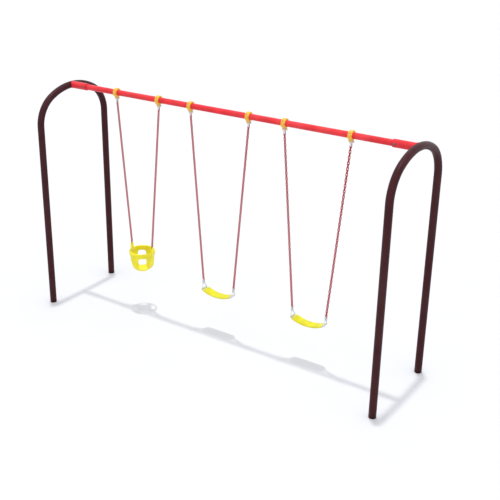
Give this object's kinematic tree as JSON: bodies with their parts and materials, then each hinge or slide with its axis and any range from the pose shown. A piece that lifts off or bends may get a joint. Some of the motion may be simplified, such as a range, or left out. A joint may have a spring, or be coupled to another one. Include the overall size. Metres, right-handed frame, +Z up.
{
  "type": "swing set",
  "caption": "Arch-frame playground swing set: two bent-tube arches, a top rail with clamp hangers, a toddler bucket seat and belt seats on chains.",
  "frame": {"origin": "on the floor, midway between the two arches and midway between their front and back legs", "axes": "+X along the top rail towards the arch beside the belt seats, +Y along the swinging direction, +Z up"},
  "size_m": [4.1346, 1.071, 2.485],
  "materials": {
    "arch_coat": "dark maroon powder coat",
    "rail_coat": "bright red powder coat",
    "chain_coat": "red plastisol-dipped steel links",
    "hanger_coat": "amber-yellow powder coat on a casting",
    "ear_coat": "yellow powder coat",
    "belt_rubber": "moulded yellow rubber, satin",
    "bucket_shell": "moulded yellow plastic, satin",
    "plug_plastic": "black end plug",
    "bush_bronze": "sintered bronze",
    "zinc": "bright zinc plate"
  },
  "bodies": {
    "frame": {"arch_left": "arch_coat", "arch_right": "arch_coat", "socket_left": "rail_coat", "socket_right": "rail_coat", "top_rail": "rail_coat", "rail_bolts": "zinc", "rail_nuts": "zinc", "foot_plugs": "plug_plastic", "hanger_cap_a1": "hanger_coat", "hanger_cap_a2": "hanger_coat", "hanger_cap_b1": "hanger_coat", "hanger_cap_b2": "hanger_coat", "hanger_cap_c1": "hanger_coat", "hanger_cap_c2": "hanger_coat", "hanger_yoke_a1": "hanger_coat", "hanger_yoke_a2": "hanger_coat", "hanger_yoke_b1": "hanger_coat", "hanger_yoke_b2": "hanger_coat", "hanger_yoke_c1": "hanger_coat", "hanger_yoke_c2": "hanger_coat", "clamp_bolts": "zinc", "clamp_washers": "zinc", "pivot_bolts": "zinc", "pivot_nuts": "zinc", "pivot_bushes": "bush_bronze"},
    "swing_a": {"pendulum_a1": "zinc", "pendulum_a2": "zinc", "chain_a1": "chain_coat", "chain_a2": "chain_coat", "chain_pins_a": "zinc"},
    "seat_a": {"bucket_seat": "bucket_shell", "bucket_ears": "ear_coat", "bucket_rivets": "zinc", "ear_pins": "zinc"},
    "swing_b": {"pendulum_b1": "zinc", "pendulum_b2": "zinc", "chain_b1": "chain_coat", "chain_b2": "chain_coat", "clevis_b1": "zinc", "clevis_b2": "zinc", "chain_pins_b": "zinc", "seat_pins_b": "zinc"},
    "seat_b": {"belt_seat_b": "belt_rubber", "end_clamps_b": "zinc", "belt_rivets_b": "zinc", "delta_rings_b": "zinc"},
    "swing_c": {"pendulum_c1": "zinc", "pendulum_c2": "zinc", "chain_c1": "chain_coat", "chain_c2": "chain_coat", "clevis_c1": "zinc", "clevis_c2": "zinc", "chain_pins_c": "zinc", "seat_pins_c": "zinc"},
    "seat_c": {"belt_seat_c": "belt_rubber", "end_clamps_c": "zinc", "belt_rivets_c": "zinc", "delta_rings_c": "zinc"}
  },
  "joints": [
    {"name": "swing_a_pivot", "type": "hinge", "parent": "frame", "child": "swing_a", "pos_m": [-1.094, 0, 2.379], "axis": [1, 0, 0], "range_deg": [-60, 60]},
    {"name": "seat_a_tilt", "type": "hinge", "parent": "swing_a", "child": "seat_a", "pos_m": [-1.094, 0, 0.76624], "axis": [1, 0, 0], "range_deg": [-45, 45]},
    {"name": "swing_b_pivot", "type": "hinge", "parent": "frame", "child": "swing_b", "pos_m": [-0.055, 0, 2.379], "axis": [1, 0, 0], "range_deg": [-60, 60]},
    {"name": "seat_b_tilt", "type": "hinge", "parent": "swing_b", "child": "seat_b", "pos_m": [-0.055, 0, 0.54247], "axis": [1, 0, 0], "range_deg": [-50, 50]},
    {"name": "swing_c_pivot", "type": "hinge", "parent": "frame", "child": "swing_c", "pos_m": [1.044, 0, 2.379], "axis": [1, 0, 0], "range_deg": [-60, 60]},
    {"name": "seat_c_tilt", "type": "hinge", "parent": "swing_c", "child": "seat_c", "pos_m": [1.044, 0, 0.54247], "axis": [1, 0, 0], "range_deg": [-50, 50]}
  ]
}
